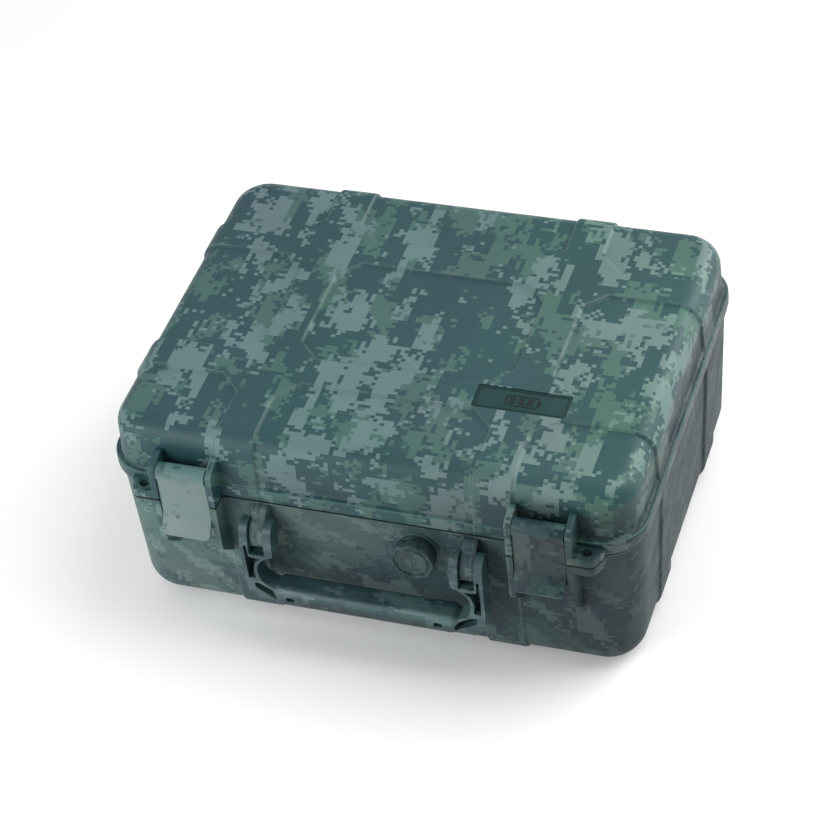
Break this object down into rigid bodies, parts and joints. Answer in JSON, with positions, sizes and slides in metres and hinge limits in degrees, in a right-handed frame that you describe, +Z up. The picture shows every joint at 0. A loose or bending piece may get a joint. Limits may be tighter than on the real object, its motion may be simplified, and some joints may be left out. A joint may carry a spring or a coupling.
{
  "type": "lipo battery hard case",
  "caption": "Moulded hard case with hinged lid, raised ribs, two latches, padlock eyes, folding handle, pressure valve and foam bays.",
  "frame": {"origin": "under the middle of the whole object's box, on the surface that the case stands on", "axes": "+X along the case's length, +Y from the latches and handle towards the hinges, +Z up through the lid"},
  "size_m": [0.36, 0.311, 0.163],
  "materials": {
    "camo_shell": "satin",
    "camo_fittings": "satin",
    "plate": "satin",
    "pin_steel": "satin",
    "seal_rubber": "matte",
    "foam": "matte",
    "valve_black": "matte"
  },
  "bodies": {
    "base": {"base_shell": "camo_shell", "floor_foam": "foam", "battery_foam": "foam", "hinge_pin_left": "pin_steel", "hinge_pin_right": "pin_steel", "handle_pin_left": "pin_steel", "handle_pin_right": "pin_steel", "valve_body": "camo_fittings", "valve_o_ring": "seal_rubber", "valve_nut": "valve_black"},
    "lid": {"lid_shell": "camo_shell", "name_plate": "plate", "lid_seal": "seal_rubber", "lid_foam": "foam", "latch_pin_left": "pin_steel", "latch_pin_right": "pin_steel"},
    "latch_left": {"latch_lever_left": "camo_fittings"},
    "latch_right": {"latch_lever_right": "camo_fittings"},
    "handle": {"carry_handle": "camo_fittings"},
    "valve_cap": {"valve_knob": "camo_fittings"}
  },
  "joints": [
    {"name": "lid_hinge", "type": "hinge", "parent": "base", "child": "lid", "pos_m": [0, 0.15, 0.1145], "axis": [-1, 0, 0], "range_deg": [0, 105]},
    {"name": "latch_left_swing", "type": "hinge", "parent": "lid", "child": "latch_left", "pos_m": [-0.119, -0.14, 0.1362], "axis": [-1, 0, 0], "range_deg": [0, 140]},
    {"name": "latch_right_swing", "type": "hinge", "parent": "lid", "child": "latch_right", "pos_m": [0.119, -0.14, 0.1362], "axis": [-1, 0, 0], "range_deg": [0, 140]},
    {"name": "handle_swing", "type": "hinge", "parent": "base", "child": "handle", "pos_m": [0, -0.1415, 0.098], "axis": [-1, 0, 0], "range_deg": [0, 110]},
    {"name": "valve_turn", "type": "hinge", "parent": "base", "child": "valve_cap", "pos_m": [0.033, -0.1395, 0.0915], "axis": [0, -1, 0], "range_deg": [0, 270]}
  ]
}
